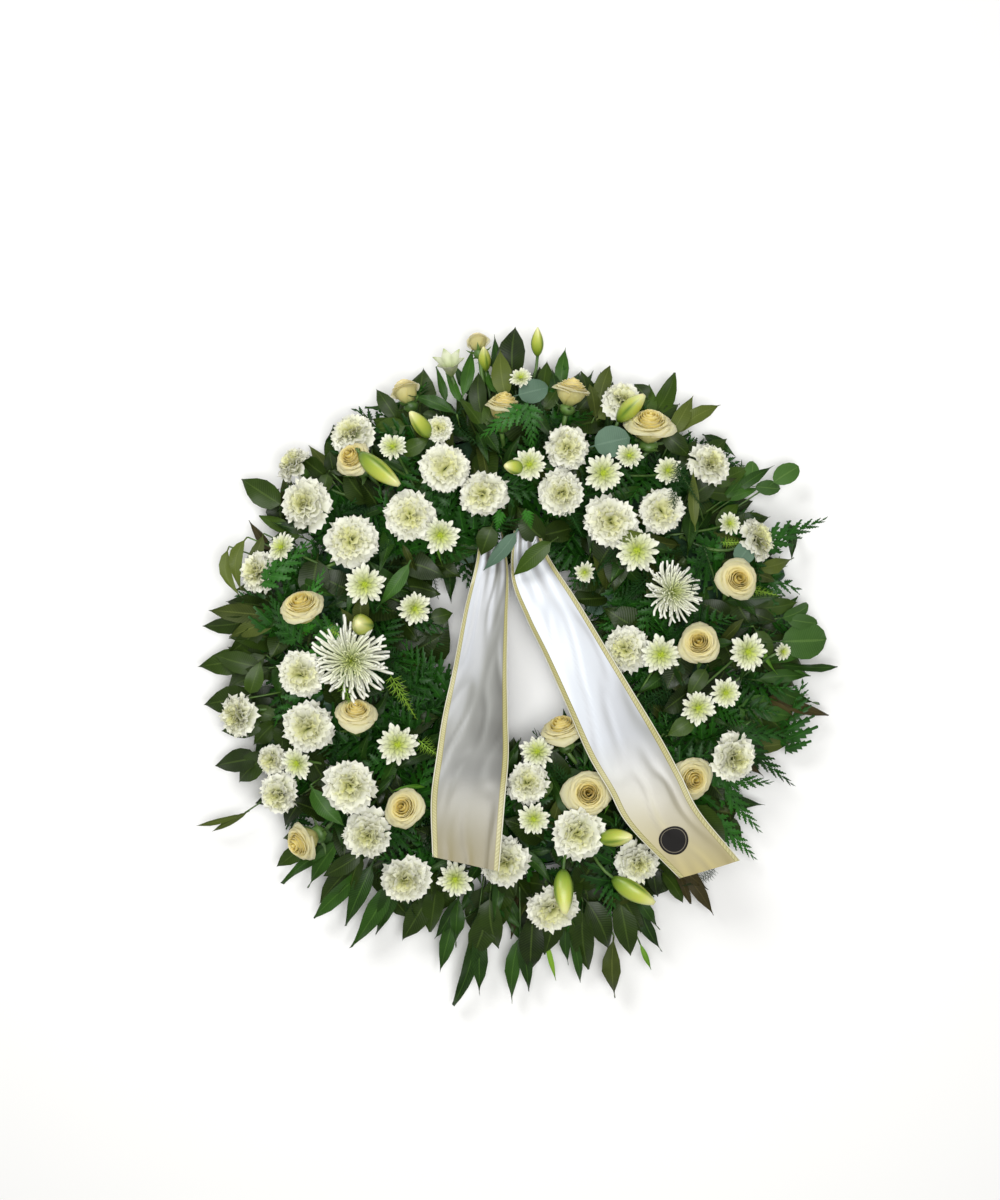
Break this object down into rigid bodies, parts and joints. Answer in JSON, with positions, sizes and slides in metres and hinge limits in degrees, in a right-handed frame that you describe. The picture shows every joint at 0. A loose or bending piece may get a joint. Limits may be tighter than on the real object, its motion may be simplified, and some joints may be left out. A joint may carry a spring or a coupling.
{
  "type": "memorial wreath",
  "caption": "Round memorial wreath of white carnations, cream roses and daisies in dark greenery on a foam ring, with two plain white satin ribbons across its centre.",
  "frame": {"origin": "centre of the wreath's footprint, on the surface it lies on", "axes": "+X to the right and +Y to the top of the wreath as it is read, +Z out of its face; it lies on its tray, face up"},
  "size_m": [0.9054, 0.9422, 0.1645],
  "materials": {
    "tray_plastic": "satin green plastic",
    "wet_foam": "matt crumbly foam",
    "ribbon_satin": "white satin with a gilt edge",
    "seal_paper": "plain black coated paper",
    "rose_petal": "velvety cream",
    "carnation_petal": "matt white",
    "daisy_petal": "matt white",
    "bud_skin": "smooth yellow-green",
    "leaf_green": "waxy dark green"
  },
  "bodies": {
    "root": {"base_tray": "tray_plastic", "foam_ring": "wet_foam", "ribbon_left": "ribbon_satin", "ribbon_right": "ribbon_satin", "round_seal": "seal_paper", "rose_01": "rose_petal", "rose_02": "rose_petal", "rose_03": "rose_petal", "rose_04": "rose_petal", "rose_05": "rose_petal", "rose_06": "rose_petal", "rose_07": "rose_petal", "rose_08": "rose_petal", "rose_09": "rose_petal", "rose_10": "rose_petal", "rose_11": "rose_petal", "rose_12": "rose_petal", "rose_13": "rose_petal", "rose_14": "rose_petal", "rose_15": "rose_petal", "carnation_01": "carnation_petal", "carnation_02": "carnation_petal", "carnation_03": "carnation_petal", "carnation_04": "carnation_petal", "carnation_05": "carnation_petal", "carnation_06": "carnation_petal", "carnation_07": "carnation_petal", "carnation_08": "carnation_petal", "carnation_09": "carnation_petal", "carnation_10": "carnation_petal", "carnation_11": "carnation_petal", "carnation_12": "carnation_petal", "carnation_13": "carnation_petal", "carnation_14": "carnation_petal", "carnation_15": "carnation_petal", "carnation_16": "carnation_petal", "carnation_17": "carnation_petal", "carnation_18": "carnation_petal", "carnation_19": "carnation_petal", "spray_daisy_01": "daisy_petal", "spray_daisy_02": "daisy_petal", "spray_daisy_03": "daisy_petal", "spray_daisy_04": "daisy_petal", "spray_daisy_05": "daisy_petal", "spray_daisy_06": "daisy_petal", "spray_daisy_07": "daisy_petal", "spider_chrysanthemum_01": "daisy_petal", "spider_chrysanthemum_02": "daisy_petal", "lily_buds_01": "bud_skin", "lily_buds_02": "bud_skin", "lily_buds_03": "bud_skin", "lily_buds_04": "bud_skin", "lily_buds_05": "bud_skin", "greenery_upper_left": "leaf_green", "greenery_top": "leaf_green", "greenery_upper_right": "leaf_green", "greenery_right": "leaf_green", "greenery_lower_right": "leaf_green", "greenery_bottom": "leaf_green", "greenery_lower_left": "leaf_green"}
  },
  "joints": []
}
